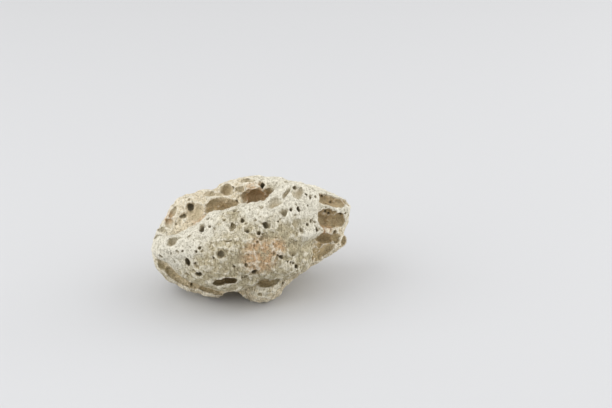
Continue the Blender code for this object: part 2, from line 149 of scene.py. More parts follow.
# Hollows of the underside, left between the three feet: (x, y, z) and half sizes. Millimetres.
UNDERCUTS = (
    (1.0, 5.0, 0.0, 9.0, 8.0, 5.0),
    (-30.0, 0.0, 1.0, 9.0, 9.0, 6.0),
    (31.0, 12.0, 0.0, 15.0, 18.0, 11.0),
    (0.0, 23.0, 0.5, 13.0, 7.0, 5.0),
    (-9.0, -9.0, 0.5, 8.0, 7.0, 4.6),
    (14.0, -8.0, 0.5, 7.0, 7.0, 4.6),
)

# The sides that smaller bubbles are placed from: azimuth and elevation of the line of sight.
FRONT = (0.0, FACE_LEAN)
TOP = (0.0, 90.0)
BACK = (180.0, 10.0)
LEFT = (-90.0, 5.0)
RIGHT = (90.0, 5.0)

# Each bubble: side, across, up, half width, half height, half depth, turn in degrees, and how far
# its middle lies under the skin. Millimetres.
HOLLOWS = (
    # the pits of the front lobe and of the shoulders behind it
    (FRONT, 4.7, 22.1, 1.0, 1.3, 3.0, 0, 0.5),
    (FRONT, -24.4, 13.4, 1.4, 1.6, 2.0, 0, 0.3),
    (FRONT, -27.1, 9.9, 0.8, 1.5, 2.0, -60, 0.3),
    (FRONT, -19.7, 4.6, 1.2, 1.5, 2.0, 0, 0.3),
    (FRONT, -7.9, 4.7, 1.0, 2.0, 1.2, -25, 0.0),
    (FRONT, -1.8, 3.5, 0.9, 0.9, 1.6, 0, 0.2),
    (FRONT, 5.6, 5.3, 1.1, 1.4, 2.0, 0, 0.3),
    (FRONT, 12.8, 10.1, 1.4, 1.5, 1.2, 0, 0.0),
    (FRONT, 18.6, 11.4, 0.9, 1.3, 2.0, 0, 0.3),
    (FRONT, 17.9, 5.9, 2.5, 2.0, 1.2, 0, -0.3),
    (FRONT, 15.9, -4.9, 3.5, 3.5, 2.4, 0, -1.5),
    (FRONT, -12.1, -5.6, 1.8, 1.4, 1.4, 0, 0.2),
    (FRONT, -25.6, -8.5, 1.0, 1.7, 2.5, 25, 0.5),
    (FRONT, -21.2, -13.4, 1.5, 0.9, 2.5, 0, 0.5),
    (FRONT, 0.7, -12.9, 1.1, 1.1, 2.5, 0, 0.5),
    (FRONT, 11.2, -7.2, 1.2, 0.8, 1.6, -30, 0.2),
    (FRONT, 17.4, -11.0, 0.9, 0.9, 1.8, 0, 0.3),
    (FRONT, 26.0, 3.4, 1.1, 0.9, 2.0, 0, 0.4),
    (FRONT, 12.3, -18.0, 0.9, 0.9, 1.8, 0, 0.3),
    (FRONT, 34.1, -1.6, 1.0, 0.8, 1.8, 0, 0.3),
    (FRONT, 8.0, 14.2, 4.2, 2.8, 2.6, 24, -0.6),
    (FRONT, 18.6, 18.2, 2.4, 3.6, 2.4, -30, -0.2),
    (FRONT, 14.4, 18.9, 0.9, 4.2, 2.0, -38, 0.2),
    (FRONT, 36.0, 9.6, 0.8, 0.7, 1.6, 0, 0.3),
    # the top
    (TOP, -10.0, 18.0, 11.0, 5.4, 3.0, 14, -0.8),
    (TOP, 6.0, 15.4, 6.0, 4.0, 3.8, -10, 0.0),
    (TOP, 16.6, 17.5, 6.4, 6.8, 3.6, 20, -0.4),
    (TOP, 22.5, 12.0, 3.0, 2.4, 3.0, -30, 0.3),
    (TOP, -4.5, 17.5, 2.4, 2.0, 2.8, 0, 0.6),
    (TOP, -21.5, 12.5, 2.2, 3.4, 2.8, 15, 0.4),
    # the left end
    (LEFT, -6.0, 7.0, 9.0, 5.6, 4.0, -24, -0.8),
    (LEFT, -13.0, -4.5, 8.0, 6.4, 4.6, 12, -0.6),
    (LEFT, 3.5, -2.0, 4.4, 3.2, 3.4, 10, 0.0),
    (LEFT, -4.5, -7.5, 3.6, 2.4, 3.0, 0, 0.3),
    (LEFT, -14.5, 6.0, 3.0, 3.4, 3.2, 25, 0.4),
    (LEFT, -2.0, 1.5, 1.5, 1.2, 2.2, 0, 0.4),
    # the right end
    (RIGHT, 6.6, 11.4, 7.6, 4.4, 4.0, 12, -1.2),
    (RIGHT, 6.5, 1.5, 5.0, 4.4, 4.6, -12, 0.2),
    (RIGHT, -2.5, -3.5, 3.2, 2.4, 3.0, 25, 0.3),
    (RIGHT, 16.0, -3.0, 8.0, 7.4, 4.4, 0, -0.8),
    (RIGHT, 3.0, -8.5, 5.6, 2.6, 3.4, -8, 0.2),
    (RIGHT, 17.0, 8.0, 2.6, 3.2, 3.2, 0, 0.5),
    # the back
    (BACK, 7.0, 9.0, 15.0, 9.0, 6.0, 12, -2.2),
    (BACK, -17.5, 4.0, 12.0, 10.0, 5.4, -20, -1.8),
    (BACK, 20.0, -6.0, 11.0, 8.0, 5.0, 25, -1.4),
    (BACK, -2.0, -9.0, 10.0, 6.0, 4.6, -8, -1.2),
    (BACK, -12.0, 11.5, 4.6, 3.6, 5.0, 10, 0.6),
    (BACK, -20.5, 9.5, 3.4, 4.6, 4.6, -15, 0.4),
    (BACK, -14.5, 1.0, 3.4, 2.4, 4.0, 8, 0.8),
    (BACK, -25.0, -1.5, 4.2, 5.4, 4.4, 20, 0.2),
    (BACK, 2.0, 4.0, 4.8, 3.2, 5.0, 30, 0.6),
    (BACK, 9.5, 12.5, 3.0, 2.6, 3.6, 0, 0.6),
    (BACK, 14.5, 6.5, 5.4, 4.4, 5.4, -20, 0.4),
    (BACK, 24.5, 5.5, 3.6, 5.0, 4.2, 15, 0.2),
    (BACK, 13.5, -4.5, 3.0, 2.2, 3.4, 20, 0.6),
    (BACK, 22.0, -9.5, 4.4, 3.0, 4.4, -25, 0.2),
    (BACK, -7.0, -10.5, 4.0, 2.8, 4.0, -10, 0.4),
    (BACK, 5.5, -13.0, 2.4, 1.8, 2.8, 0, 0.6),
    (BACK, -1.0, -2.5, 1.8, 1.6, 2.8, 0, 0.6),
    (BACK, -29.0, 8.0, 1.8, 2.4, 2.8, 0, 0.5),
)
# How far each bubble is pushed out of round, as a share of its size, by two noises: a broad one
# and a finer one, each with so many waves to the bubble's radius.
BUBBLE_UNEVEN = 0.30
UNEVEN_BROAD = 1.1
UNEVEN_FINE = 3.0
UNEVEN_FINE_SHARE = 0.35

# Small pits listed for the front: across, up, half width, half height, half depth. Each lies
# where the front's line of sight meets the stone. Millimetres.
FRONT_PITS = (
    (15.4, 11.3, 0.6, 0.8, 1.6), (21.9, 5.3, 0.7, 0.7, 1.4), (28.9, -7.6, 0.5, 0.5, 1.2),
    (24.4, -6.8, 0.5, 0.5, 1.2), (-20.3, -2.8, 0.7, 0.7, 1.2), (-21.8, -4.2, 0.6, 0.6, 1.2),
    (-7.2, -10.6, 0.6, 0.6, 1.2), (13.8, -9.1, 0.5, 0.5, 1.4), (15.0, -9.5, 0.5, 0.5, 1.4),
    (16.0, -9.7, 0.5, 0.5, 1.4), (-9.1, -0.4, 1.9, 0.4, 0.9), (-27.1, -4.0, 0.5, 0.5, 1.0),
    (-16.5, 5.5, 0.7, 0.7, 1.2), (21.8, 17.4, 0.6, 0.6, 1.4), (23.7, 16.2, 0.6, 0.6, 1.4),
    (17.7, 20.0, 0.8, 0.8, 1.6), (-2.8, -14.5, 0.6, 0.6, 1.2), (-4.3, -19.5, 0.5, 0.5, 1.0),
    (-24.7, -17.3, 0.5, 0.9, 1.2), (30.5, 13.8, 0.6, 0.6, 1.2), (32.4, 14.5, 0.6, 0.6, 1.2),
    (28.8, 16.8, 0.6, 0.6, 1.2), (27.8, 10.4, 0.6, 0.6, 1.2), (30.1, 10.7, 0.6, 0.6, 1.2),
    (31.2, 10.0, 0.6, 0.6, 1.2), (38.4, 9.7, 0.5, 0.5, 1.0), (-22.1, -8.8, 0.5, 0.5, 1.2),
    (-15.0, -6.9, 0.5, 0.5, 1.2), (10.3, 6.8, 0.4, 0.4, 1.0), (17.0, 9.1, 0.4, 0.4, 1.0),
    (22.3, 12.8, 0.5, 0.5, 1.2), (25.1, 4.6, 0.5, 0.5, 1.2),
)

# Patches of orange-pink iron stain: across, up and out of the middle, and reach. Millimetres.
STAINS = (
    (2.6, -6.2, 24.5, 9.4),
    (9.0, -3.4, 24.0, 5.4),
    (-22.0, 9.6, 12.0, 6.0),
    (27.0, 8.2, 10.0, 4.0),
    (30.0, 4.0, 8.0, 4.6),
    (2.0, 18.0, 6.0, 7.0),
    (-34.0, 10.0, 5.0, 4.0),
)

# ---- How fine the visual stone is ----
MASS_SUBDIVISIONS = 6
# Broad waves over the front and the back of a mass, and lumps all over it: height and length.
FRONT_WAVINESS = 2.0 * MM
BACK_WAVINESS = 3.0 * MM
WAVE_LENGTH = 11.0 * MM
WAVE_SHIFT = Vector((3.1, 7.7, 1.3))
LUMP_LENGTH = 4.6 * MM
LUMP_LAYERS = 3
# How much weaker and how much shorter each layer of lumps is than the one before.
LUMP_FALL = 0.8
LUMP_STEP = 2.1
# How far an outline is eased between its corners: 0 is straight in angle, 1 is level at each.
OUTLINE_EASE = 0.5
# Corners of an outline closer than this in angle count as this far apart, in radians.
SMALLEST_ANGLE = 1e-9
# Rays that look for the skin start this far from the middle.
RAY_START = 200.0 * MM
# Bubbles at least this wide get this many subdivisions, so that all keep the same fineness.
BUBBLE_SUBDIVISIONS = ((5.0, 5), (1.8, 4), (0.75, 3), (0.0, 2))
# Bubbles that are cut out together keep their middles this many times their reach apart.
BUBBLE_SPACING = 1.15

# Placed bubbles narrower and lower than twice this, in millimetres, are pits: they are cut out
# after the wider ones, and a shallow funnel opens round each of them.
PIT_HALF_WIDTH = 2.0
# How far the middle of a small front pit lies under the skin, in millimetres.
FRONT_PIT_SINK = 0.2
# A placed pit's funnel: its width against the pit's width; the rest against the pit's height,
# which are its height, how far it is moved up, and how far its middle stands out of the skin.
FUNNEL_WIDTH = 1.7
FUNNEL_HEIGHT = 1.6
FUNNEL_RISE = 0.3
FUNNEL_OUT = 0.5

# Strewn pits: radius of the smallest in millimetres, and how far and how steeply their radii run
# towards rare large ones.
STREWN_SEED = 11
STREWN_SMALLEST = 0.30
STREWN_SPREAD = 0.90
STREWN_POWER = -0.5
STREWN_TRIES = 30
# The chance that a strewn pit is kept: its mean, and how far a noise of this length moves it.
PATCH_CHANCE = 0.55
PATCH_SWING = 0.9
PATCH_LENGTH = 7.0 * MM
PATCH_SHIFT = Vector((5.0, 1.0, 9.0))
# What is left of a strewn pit's chance and of its radius in a bowl deeper than this.
BOWL_DEPTH = 0.8 * MM
BOWL_CHANCE = 0.22
BOWL_RADIUS = 0.8
# Strewn pits may come this close, as a share of their radii together, and are looked up in cells
# of this many millimetres.
STREWN_SPACING = 0.9
STREWN_CELL = 1.6
# Least and most half width, half height, half depth and sink of a strewn pit, against its radius.
STREWN_SHAPE = ((0.8, 1.4), (0.7, 1.1), (0.6, 1.6), (-0.3, 0.4))
# Strewn pits with a radius over this, in millimetres, lie in a shallow funnel, with its least and
# most half width and half height and how far it stands out of the skin, against the pit's radius.
STREWN_FUNNEL_SMALLEST = 0.50
STREWN_FUNNEL_SHAPE = ((1.5, 2.1), (1.2, 1.7))
STREWN_FUNNEL_OUT = 0.55

# The crumbly skin: its height, the length and share of each of its noises, and what is left of it
# in a bowl deeper than this.
CRUMBLE = 1.5 * MM
CRUMBLE_NOISES = ((1.5 * MM, 0.16), (0.7 * MM, 0.09))
SMOOTH_DEPTH = 0.5 * MM
SMOOTH_SHARE = 0.35
# How many times the skin is averaged to find what stands proud of it.
RIDGE_PASSES = 12
TRIANGLES_PER_SQUARE = 2


# ---- Shape ----
def face_axes(azimuth, elevation):
    """Across, up and outward unit vectors of a side seen from an azimuth and elevation."""
    turn = math.radians(azimuth)
    lift = math.radians(elevation)
    outward = Vector((math.sin(turn) * math.cos(lift), -math.cos(turn) * math.cos(lift), math.sin(lift)))
    across = Vector((math.cos(turn), math.sin(turn), 0.0))
    return across, outward.cross(across), outward


def face_place(across_mm, up_mm, out_mm):
    """A point given on the outlines' plane and out of it, in world axes."""
    across, up, outward = face_axes(*FRONT)
    return FACE_CENTRE + (across * across_mm + up * up_mm + outward * out_mm) * MM


def polar_outline(outline, middle):
    """The outline's points as (angle, reach) about the middle, in order of angle."""
    points = [(across - middle[0], up - middle[1]) for across, up in outline]
    return sorted((math.atan2(up, across), math.hypot(across, up)) for across, up in points)


def outline_reach(polar, angle):
    """Distance from the middle to the outline at an angle, eased from point to point."""
    tau = 2 * math.pi
    for number, (end_angle, end_reach) in enumerate(polar):
        if angle <= end_angle:
            break
    else:
        number, (end_angle, end_reach) = 0, (polar[0][0] + tau, polar[0][1])
    start_angle, start_reach = polar[number - 1]
    if start_angle > end_angle:
        start_angle -= tau
    part = (angle - start_angle) / max(end_angle - start_angle, SMALLEST_ANGLE)
    part = part + OUTLINE_EASE * (part * part * (3 - 2 * part) - part)
    return start_reach + (end_reach - start_reach) * part


def mass_point(direction, polar, middle, front, back, fullness, lump_height):
    """Where a unit direction (across, up, out) meets the skin of a mass."""
    across, up, outward = face_axes(*FRONT)
    flat = math.hypot(direction.x, direction.y)
    angle = math.atan2(direction.y, direction.x)
    reach = outline_reach(polar, angle) * flat
    depth = (front if direction.z > 0 else back) * math.copysign(abs(direction.z) ** fullness, direction.z)
    place = Vector(middle) + Vector((math.cos(angle) * reach, math.sin(angle) * reach, depth))
    place *= MM
    point = across * place.x + up * place.y + outward * place.z
    height = FRONT_WAVINESS if direction.z > 0 else BACK_WAVINESS
    wave = noise.noise(point / WAVE_LENGTH + WAVE_SHIFT) * height * abs(direction.z)
    lump = noise.fractal(point / LUMP_LENGTH, LUMP_FALL, LUMP_STEP, LUMP_LAYERS) * lump_height
    return FACE_CENTRE + point + point.normalized() * (wave + lump)


def new_mesh_object(name, build, *details):
    """A mesh object at the origin, filled by build(bmesh, *details)."""
    mesh = bpy.data.meshes.new(name)
    bm = bmesh.new()
    build(bm, *details)
    bm.to_mesh(mesh)
    bm.free()
    return link_object(name, mesh)


def link_object(name, data):
    """An object of some mesh, light or camera data, in the scene."""
    thing = bpy.data.objects.new(name, data)
    bpy.context.scene.collection.objects.link(thing)
    return thing


def build_mass(bm, mass, lump_height):
    """One mass: a round ball drawn out to its outline."""
    outline, middle, front, back, fullness = mass
    polar = polar_outline(outline, middle)
    bmesh.ops.create_icosphere(bm, subdivisions=MASS_SUBDIVISIONS, radius=1.0)
    for vert in bm.verts:
        vert.co = mass_point(vert.co.normalized(), polar, middle, front, back, fullness, lump_height)
    bmesh.ops.recalc_face_normals(bm, faces=bm.faces)


def settle(thing):
    """Replaces an object's mesh by what its modifiers make of it."""
    graph = bpy.context.evaluated_depsgraph_get()
    made = bpy.data.meshes.new_from_object(thing.evaluated_get(graph), depsgraph=graph)
    thing.modifiers.clear()
    old = thing.data
    thing.data = made
    bpy.data.meshes.remove(old)


def combine(target, other, operation):
    """Adds or takes away another closed object, and deletes it."""
    joint = target.modifiers.new(operation.lower(), "BOOLEAN")
    joint.operation = operation
    joint.object = other
    joint.solver = "MANIFOLD"
    settle(target)
    bpy.data.objects.remove(other)


def surface_tree(thing):
    """An object's surface, ready to be looked up."""
    return BVHTree.FromObject(thing, bpy.context.evaluated_depsgraph_get())


def depth_under(skin):
    """A function giving how far inside a closed skin a point lies, in metres."""
    def depth(point):
        near, normal, _, distance = skin.find_nearest(point)
        return distance if (point - near).dot(normal) < 0 else 0.0
    return depth


# ---- Bubbles ----
# Each is a matrix that places a ball of radius one, and its longest half size in millimetres.
def bubble(place, *half_sizes):
    """A bubble with three half sizes in millimetres along the axes of its place."""
    return place @ Matrix.Diagonal((*(half_size * MM for half_size in half_sizes), 1.0)), max(half_sizes)


def bowl_bubble(across_mm, up_mm, out_mm, half_width, half_height, half_depth, turn):
    """A bowl placed by its middle, in the outlines' plane's own axes."""
    plane = Matrix(face_axes(*FRONT)).transposed().to_4x4()
    spin = Matrix.Rotation(math.radians(turn), 4, "Z")
    place = Matrix.Translation(face_place(across_mm, up_mm, out_mm))
    return bubble(place @ plane @ spin, half_width, half_height, half_depth)


def undercut_bubble(x_mm, y_mm, z_mm, *half_sizes):
    """A hollow of the underside in world axes."""
    return bubble(Matrix.Translation(Vector((x_mm, y_mm, z_mm)) * MM), *half_sizes)


def skin_bubble(skin, side, across_mm, up_mm, half_width, half_height, half_depth, turn, sink):
    """A bubble where the line of sight of a side meets the skin."""
    across, up, outward = face_axes(*side)
    start = FACE_CENTRE + across * across_mm * MM + up * up_mm * MM + outward * RAY_START
    hit, normal, _, _ = skin.ray_cast(start, -outward)
    if hit is None:
        raise RuntimeError("a bubble misses the stone: %s %.1f %.1f" % (side, across_mm, up_mm))
    along = across.copy()
    along.rotate(Matrix.Rotation(math.radians(turn), 3, outward))
    return surface_bubble(hit, normal, along, half_width, half_height, half_depth, sink)


def surface_bubble(point, normal, along, half_width, half_height, half_depth, sink):
    """A bubble whose middle is sunk under the skin at a point."""
    along = (along - normal * along.dot(normal)).normalized()
    axes = Matrix((along, normal.cross(along), normal)).transposed().to_4x4()
    place = Matrix.Translation(point - normal * sink * MM)
    return bubble(place @ axes, half_width, half_height, half_depth)


def is_pit(hollow):
    """Whether a placed bubble is narrow enough to be a pit."""
    return max(hollow[3:5]) < PIT_HALF_WIDTH


def pit_funnel(skin, side, across_mm, up_mm, half_width, half_height, turn):
    """The shallow funnel that opens round and over a placed pit."""
    place = (side, across_mm, up_mm + half_height * FUNNEL_RISE)
    size = (half_width * FUNNEL_WIDTH, half_height * FUNNEL_HEIGHT, half_height)
    return skin_bubble(skin, *place, *size, turn, -half_height * FUNNEL_OUT)


def random_places(mesh, chance):
    """Endless places strewn evenly over a mesh, as (point, normal)."""
    mesh.calc_loop_triangles()
    areas = np.empty(len(mesh.loop_triangles), dtype=np.float64)
    mesh.loop_triangles.foreach_get("area", areas)
    running = np.cumsum(areas)
    while True:
        triangle = mesh.loop_triangles[int(np.searchsorted(running, chance.random() * running[-1]))]
        a, b, c = (mesh.vertices[index].co for index in triangle.vertices)
        s, t = sorted((chance.random(), chance.random()))
        yield a * s + b * (t - s) + c * (1 - t), triangle.normal


def strewn_cell(point):
    """The cell of a coarse grid that a point lies in."""
    return tuple(int(round(value / (STREWN_CELL * MM))) for value in point)


def too_near(point, radius, taken):
    """Whether a pit would run into one that is in its own cell or in one beside it."""
    x, y, z = strewn_cell(point)
    for i, j, k in itertools.product((-1, 0, 1), repeat=3):
        for other, other_radius in taken.get((x + i, y + j, z + k), ()):
            if (point - other).length < (radius + other_radius) * STREWN_SPACING * MM:
                return True
    return False


def strewn_pit(point, normal, radius, chance):
    """One strewn pit's bubble, and its funnel's where it is large enough for one."""
    along = Vector((chance.uniform(-1, 1), chance.uniform(-1, 1), chance.uniform(-1, 1)))
    shape = [radius * chance.uniform(*span) for span in STREWN_SHAPE]
    bubbles = [surface_bubble(point, normal, along, *shape)]
    if radius > STREWN_FUNNEL_SMALLEST:
        opening = [radius * chance.uniform(*span) for span in STREWN_FUNNEL_SHAPE]
        out = -radius * STREWN_FUNNEL_OUT
        bubbles.append(surface_bubble(point, normal, along, *opening, radius, out))
    return bubbles


def scatter_pits(mesh, depth_of, count):
    """Pits and their funnels strewn over a mesh, crowded in patches and few in the walls of bowls."""
    chance = random.Random(STREWN_SEED)
    places = random_places(mesh, chance)
    pits = []
    taken = {}
    for _ in range(count * STREWN_TRIES):
        if len(pits) >= count:
            break
        point, normal = next(places)
        radius = STREWN_SMALLEST * (1 - chance.random() * STREWN_SPREAD) ** STREWN_POWER
        crowd = PATCH_CHANCE + PATCH_SWING * noise.noise(point / PATCH_LENGTH + PATCH_SHIFT)
        if depth_of(point) > BOWL_DEPTH:
            crowd *= BOWL_CHANCE
            radius *= BOWL_RADIUS
        if chance.random() > crowd or too_near(point, radius, taken):
            continue
        taken.setdefault(strewn_cell(point), []).append((point, radius))
        pits += strewn_pit(point, normal, radius, chance)
    return pits


def apart(bubbles):
    """Sorts bubbles into batches in which none touches another."""
    batches = []
    for matrix, reach in bubbles:
        middle = matrix.translation
        for batch in batches:
            if all((middle - other.translation).length > (reach + far) * MM * BUBBLE_SPACING
                   for other, far in batch):
                break
        else:
            batch = []
            batches.append(batch)
        batch.append((matrix, reach))
    return batches


def bubble_subdivisions(reach):
    """Subdivisions that keep bubbles of every reach, in millimetres, about equally fine."""
    return next(count for limit, count in BUBBLE_SUBDIVISIONS if reach >= limit)


def unit_ball(subdivisions):
    """The corners and faces of a ball of radius one."""
    bm = bmesh.new()
    bmesh.ops.create_icosphere(bm, subdivisions=subdivisions, radius=1.0)
    corners = [vert.co.copy() for vert in bm.verts]
    faces = np.array([[vert.index for vert in face.verts] for face in bm.faces])
    bm.free()
    return corners, faces


def uneven_point(corner, matrix):
    """Where a corner of a ball of radius one goes in a bubble that is not quite round."""
    middle = matrix.translation / MM
    push = noise.noise(corner * UNEVEN_BROAD + middle)
    push += noise.noise(corner * UNEVEN_FINE + middle) * UNEVEN_FINE_SHARE
    return matrix @ (corner * (1.0 + push * BUBBLE_UNEVEN))


def bubble_object(name, bubbles, balls):
    """Uneven round bubbles in one mesh, each a copy of one of a few balls."""
    corners = []
    faces = []
    for matrix, reach in bubbles:
        ball_corners, ball_faces = balls[bubble_subdivisions(reach)]
        faces.append(ball_faces + len(corners))
        corners += [uneven_point(corner, matrix) for corner in ball_corners]
    mesh = bpy.data.meshes.new(name)
    mesh.from_pydata(corners, [], np.concatenate(faces).tolist())
    return link_object(name, mesh)


def carve(stone, bubbles):
    """Cuts bubbles out of the stone, batch by batch."""
    balls = {count: unit_ball(count) for _, count in BUBBLE_SUBDIVISIONS}
    for number, batch in enumerate(apart(bubbles)):
        combine(stone, bubble_object("bubbles_%d" % number, batch, balls), "DIFFERENCE")


# ---- Skin ----
def vertex_table(mesh, name):
    """One vector per vertex as rows of numbers."""
    rows = np.empty(len(mesh.vertices) * 3)
    mesh.vertices.foreach_get(name, rows)
    return rows.reshape(-1, 3)


def redraw(stone, voxel):
    """Redraws the carved surface evenly, as squares of one size."""
    remesh = stone.modifiers.new("even", "REMESH")
    remesh.mode = "VOXEL"
    remesh.voxel_size = voxel
    settle(stone)


def crumble(mesh, depth_of):
    """Roughens the skin by fine noise, less in the walls of bowls, and keeps it off the floor."""
    points = vertex_table(mesh, "co")
    heights = np.empty(len(points))
    for number, row in enumerate(points):
        point = Vector(row)
        worn = 1.0 if depth_of(point) < SMOOTH_DEPTH else SMOOTH_SHARE
        fine = sum(noise.noise(point / length) * share for length, share in CRUMBLE_NOISES)
        heights[number] = fine * worn * CRUMBLE
    points += vertex_table(mesh, "normal") * heights[:, None]
    points[:, 2] = np.maximum(points[:, 2], 0.0)
    mesh.vertices.foreach_set("co", points.ravel())
    mesh.update()


def thin_out(stone, triangles):
    """Thins the mesh, most where it is flat."""
    thin = stone.modifiers.new("thin", "DECIMATE")
    thin.ratio = triangles / (len(stone.data.polygons) * TRIANGLES_PER_SQUARE)
    settle(stone)


def keep_largest_piece(bm):
    """Deletes every loose chip, leaving the largest connected piece."""
    unseen = set(bm.verts)
    pieces = []
    while unseen:
        front = [unseen.pop()]
        piece = list(front)
        while front:
            found = []
            for vert in front:
                for edge in vert.link_edges:
                    other = edge.other_vert(vert)
                    if other in unseen:
                        unseen.discard(other)
                        found.append(other)
            piece += found
            front = found
        pieces.append(piece)
    pieces.sort(key=len)
    for piece in pieces[:-1]:
        bmesh.ops.delete(bm, geom=piece, context="VERTS")


def clean_up(mesh):
    """Leaves one piece that doesn't dip under the floor."""
    bm = bmesh.new()
    bm.from_mesh(mesh)
    keep_largest_piece(bm)
    for vert in bm.verts:
        vert.co.z = max(vert.co.z, 0.0)
    bm.to_mesh(mesh)
    bm.free()


def store(mesh, name, values):
    """Keeps one number per vertex as an attribute that materials can read."""
    attribute = mesh.attributes.new(name, "FLOAT", "POINT")
    attribute.data.foreach_set("value", np.asarray(values, dtype=np.float32))


def ridge_values(mesh):
    """How much each vertex stands proud of its neighbourhood, in millimetres."""
    points = vertex_table(mesh, "co")
    normals = vertex_table(mesh, "normal")
    ends = np.empty(len(mesh.edges) * 2, dtype=np.int64)
    mesh.edges.foreach_get("vertices", ends)
    ends = ends.reshape(-1, 2)
    count = np.bincount(ends.ravel(), minlength=len(points)).astype(float)[:, None]
    smooth = points
    for _ in range(RIDGE_PASSES):
        total = np.zeros_like(smooth)
        np.add.at(total, ends[:, 0], smooth[ends[:, 1]])
        np.add.at(total, ends[:, 1], smooth[ends[:, 0]])
        smooth = total / np.maximum(count, 1.0)
    return ((points - smooth) * normals).sum(axis=1) / MM


def grow_stone(sizes):
    """The whole stone as one mesh object with its hollow, pit and ridge attributes."""
    stone = new_mesh_object("pumice_visual", build_mass, MASSES[0], sizes.lump_height)
    for number, mass in enumerate(MASSES[1:]):
        combine(stone, new_mesh_object("mass_%d" % number, build_mass, mass, sizes.lump_height), "UNION")
    whole = surface_tree(stone)
    under_whole = depth_under(whole)

    bowls = [bowl_bubble(*bowl) for bowl in BOWLS]
    bowls += [undercut_bubble(*hollow) for hollow in UNDERCUTS]
    bowls += [skin_bubble(whole, *hollow) for hollow in HOLLOWS if not is_pit(hollow)]
    carve(stone, bowls)
    hollowed = surface_tree(stone)
    under_hollowed = depth_under(hollowed)

    placed_pits = [hollow for hollow in HOLLOWS if is_pit(hollow)]
    placed_pits += [(FRONT, *pit, 0, FRONT_PIT_SINK) for pit in FRONT_PITS]
    pits = [skin_bubble(hollowed, *pit) for pit in placed_pits]
    pits += [pit_funnel(hollowed, *pit[:5], pit[6]) for pit in placed_pits]
    pits += scatter_pits(stone.data, under_whole, sizes.pit_count)
    carve(stone, pits)

    redraw(stone, sizes.voxel)
    crumble(stone.data, under_whole)
    thin_out(stone, sizes.triangles)
    mesh = stone.data
    clean_up(mesh)
    mesh.shade_smooth()
    store(mesh, "hollow_mm", [under_whole(vert.co) / MM for vert in mesh.vertices])
    store(mesh, "pit_mm", [under_hollowed(vert.co) / MM for vert in mesh.vertices])
    store(mesh, "ridge_mm", ridge_values(mesh))
    return stone


# ---- Materials ----
# Noises over the stone: waves per millimetre, how many finer layers, and how strong those are.
BROAD_NOISE = (0.10, 4.0, 0.55)
PATCHY_NOISE = (0.42, 4.0, 0.55)
FINE_NOISE = (2.0, 3.0, 0.6)
FIBRE_NOISE = (1.1, 4.0, 0.6)
STAIN_NOISE = (0.45, 5.0, 0.6)
# How many to a metre the fibres are laid out along X, Y and Z: long upwards, thin across.
PER_MM = (1000.0, 1000.0, 1000.0)
FIBRE_STRETCH = (1600.0, 900.0, 420.0)

# Each range below is (from, to, value at from, value at to). Places along X and Z, the depths of
# hollows and pits and the heights of ridges are in millimetres; shares run from 0 to 1.
# Painted light pales the skin towards the top: its height wanders, and the ends count as higher.
HEIGHT_WANDER = (0.25, 0.75, -7.0, 7.0)
LEFT_END_RISE = (-11.0, -31.0, 0.0, 23.0)
RIGHT_END_RISE = (10.0, 24.0, 0.0, 7.0)
PAINTED_LIGHT = (34.5, 45.0, 0.05, 1.0)
DULL_PATCHES = (0.36, 0.64)
# Painted warm shade: the skin behind the front lobe, towards the left and low down, is tan.
BEHIND_LOBE = (15.0, 9.0)
BEHIND_LOBE_WANDER = (0.3, 0.7, -2.0, 2.0)
LEFT_HALF = (8.0, -6.0)
LOWER_HALF = (34.0, 27.0)
LEFT_TIP = (-37.0, -28.0, 0.25, 1.0)
TAN_SHARE = 0.8
# Bubble walls turn brown in patches, near the top and at the right end, and deep down as painted shade.
BROWN_PATCHES = (0.3, 0.7, 0.0, 0.45)
BROWN_TOP = (31.0, 38.0, 0.0, 0.65)
BROWN_RIGHT_END = (24.0, 30.0, 0.0, 0.35)
BROWN_DEPTH_SHADE = (2.2, 5.5, 0.0, 0.45)
BROWN_LEFT_END = (-22.0, -14.0, 0.15, 1.0)
# How far the wall's colour covers the skin's, growing with depth as partly the walls' own tan and
# partly painted shade: full at this depth, sooner at the right end, and never wholly at the left end.
WALL_DEPTH = (0.1, 3.4)
WALL_RIGHT_END = (20.0, 29.0, 1.0, 2.6)
WALL_LEFT_END = (-24.0, -15.0, 0.6, 0.94)
# A stain is whole within this share of its reach, and broken up by blotches.
STAIN_CORE = 0.45
STAIN_BLOTCHES = (0.29, 0.51)
STAIN_SHARE = 0.9
# Painted pores: cells per millimetre, and the smallest and largest pore against its cell.
WIDE_PORES = (0.85, 0.0, 0.28)
SMALL_PORES = (1.9, 0.04, 0.44)
PORE_EDGE = (-0.04, 0.08)
WIDE_PORE_SHARE = 0.8
PORES_IN_HOLLOWS = (0.6, 2.4, 1.0, 0.55)
PORES_IN_PAINTED_LIGHT = (0.0, 1.0, 0.80, 0.62)
# Painted shade darkens pits in two steps, painted light pales the ridges, and painted shade dulls the dips
# between them.
PIT_SHADE = (0.20, 0.9, 0.0, 0.75)
PIT_BOTTOM_SHADE = (0.5, 1.4, 0.0, 0.97)
RIDGE_PAINTED_LIGHT = (0.04, 0.30, 0.0, 0.60)
DIP_PAINTED_SHADE = (-0.03, -0.26, 0.0, 0.36)
# Fine grain from dark to light, and how much of it is fine noise instead of fibres in a bowl.
GRAIN = (0.37, 0.61)
GRAIN_DARK = (0.62, 0.595, 0.54, 1.0)
GRAIN_LIGHT = (1.13, 1.13, 1.13, 1.0)
GRAIN_FINE_IN_BOWL = (0.0, 1.0, 0.4, 0.9)
GRAIN_IN_PAINTED_LIGHT = (0.0, 1.0, 1.0, 0.60)
GRAIN_IN_BOWL = (0.0, 1.0, 1.0, 0.75)
# The bump: how much the pores, the fine noise and the fibres each raise it.
PORE_RELIEF = -1.0
FINE_RELIEF = 0.55
FIBRE_RELIEF = 0.55
BUMP_STRENGTH = 0.85
BUMP_HEIGHT = 0.45 * MM
STONE_ROUGHNESS = 0.95
STONE_SPECULAR = 0.2
FLOOR_ROUGHNESS = 0.9
FLOOR_SPECULAR = 0.1
# How the nodes are laid out in the editor.
NODES_PER_ROW = 6
NODE_STEP = 260


